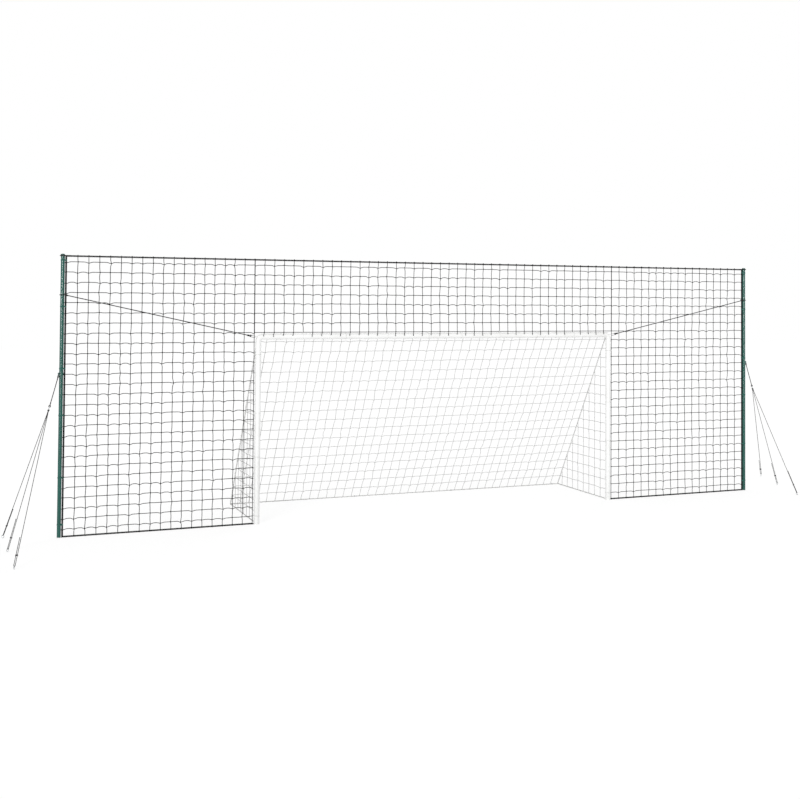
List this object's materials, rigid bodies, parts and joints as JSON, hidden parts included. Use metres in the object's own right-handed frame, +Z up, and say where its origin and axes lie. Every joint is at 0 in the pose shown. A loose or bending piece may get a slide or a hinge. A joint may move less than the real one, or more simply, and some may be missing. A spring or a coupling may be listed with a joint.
{
  "type": "pitch back rebounder",
  "caption": "Netted rebound wall on two guyed poles with a football goal set in its middle, its net sloping back to the ground.",
  "frame": {"origin": "on the ground under the middle of the crossbar, in the plane of the wall net", "axes": "+X to the right along the wall as a player sees it, +Y away from the player towards the back of the goal's net, +Z up"},
  "size_m": [10.7029, 2.6494, 3.361],
  "materials": {
    "pole_green": "gloss powder coat",
    "steel": "zinc plated",
    "hook_black": "black coated",
    "cord_black": "braided rope",
    "net_black": "knotted twine",
    "net_white": "knotted twine",
    "goal_white": "semi-gloss",
    "clip_white": "matt",
    "plastic_black": "matt"
  },
  "bodies": {
    "structure": {"left_pole_lower": "pole_green", "left_pole_middle": "pole_green", "left_pole_upper": "pole_green", "right_pole_lower": "pole_green", "right_pole_middle": "pole_green", "right_pole_upper": "pole_green", "left_pole_cap": "plastic_black", "right_pole_cap": "plastic_black", "left_pole_spike": "steel", "right_pole_spike": "steel", "left_guy_collar": "pole_green", "right_guy_collar": "pole_green", "guy_collar_bolts": "steel", "left_guy_ring": "steel", "right_guy_ring": "steel", "left_guy_lead": "cord_black", "right_guy_lead": "cord_black", "guy_junction_rings": "steel", "left_guys": "cord_black", "right_guys": "cord_black", "guy_pegs": "steel", "left_net": "net_black", "top_net": "net_black", "right_net": "net_black", "top_rope": "cord_black", "left_side_rope": "cord_black", "right_side_rope": "cord_black", "left_bottom_rope": "cord_black", "right_bottom_rope": "cord_black", "left_pole_ties": "pole_green", "right_pole_ties": "pole_green", "goal_ties": "net_white", "left_corner_rope": "cord_black", "right_corner_rope": "cord_black", "left_snap_hook": "hook_black", "right_snap_hook": "hook_black", "left_post": "goal_white", "right_post": "goal_white", "left_crossbar": "goal_white", "right_crossbar": "goal_white", "crossbar_joiner": "goal_white", "left_corner_elbow": "goal_white", "right_corner_elbow": "goal_white", "left_post_foot": "goal_white", "right_post_foot": "goal_white", "goal_net_rear": "net_white", "goal_net_left": "net_white", "goal_net_right": "net_white", "goal_seam_ropes": "net_white", "goal_ground_ropes": "net_white", "goal_net_clips": "clip_white", "goal_net_pegs": "steel"},
    "left_slider_back": {"left_slider_back": "plastic_black"},
    "left_slider_middle": {"left_slider_middle": "plastic_black"},
    "left_slider_front": {"left_slider_front": "plastic_black"},
    "right_slider_back": {"right_slider_back": "plastic_black"},
    "right_slider_middle": {"right_slider_middle": "plastic_black"},
    "right_slider_front": {"right_slider_front": "plastic_black"},
    "left_hook_gate": {"left_hook_gate": "hook_black"},
    "right_hook_gate": {"right_hook_gate": "hook_black"}
  },
  "joints": [
    {"name": "left_slider_back_slide", "type": "slide", "parent": "structure", "child": "left_slider_back", "axis": [0.2928, -0.2021, 0.9346], "range_m": [-0.085, 0.17]},
    {"name": "left_slider_middle_slide", "type": "slide", "parent": "structure", "child": "left_slider_middle", "axis": [0.2729, 0.2654, 0.9247], "range_m": [-0.085, 0.17]},
    {"name": "left_slider_front_slide", "type": "slide", "parent": "structure", "child": "left_slider_front", "axis": [0.2058, 0.6363, 0.7435], "range_m": [-0.085, 0.17]},
    {"name": "right_slider_back_slide", "type": "slide", "parent": "structure", "child": "right_slider_back", "axis": [-0.4738, -0.4667, 0.7468], "range_m": [-0.085, 0.17]},
    {"name": "right_slider_middle_slide", "type": "slide", "parent": "structure", "child": "right_slider_middle", "axis": [-0.3761, -0.0986, 0.9213], "range_m": [-0.085, 0.17]},
    {"name": "right_slider_front_slide", "type": "slide", "parent": "structure", "child": "right_slider_front", "axis": [-0.1581, 0.3977, 0.9038], "range_m": [-0.085, 0.17]},
    {"name": "left_hook_gate_hinge", "type": "hinge", "parent": "structure", "child": "left_hook_gate", "pos_m": [-2.42779, -0.016, 2.1668], "axis": [0, 1, 0], "range_deg": [0, 25], "stiffness_Nm_per_rad": 0.1, "springref_deg": -5.73},
    {"name": "right_hook_gate_hinge", "type": "hinge", "parent": "structure", "child": "right_hook_gate", "pos_m": [2.42779, -0.016, 2.1668], "axis": [0, -1, 0], "range_deg": [0, 25], "stiffness_Nm_per_rad": 0.1, "springref_deg": -5.73}
  ]
}
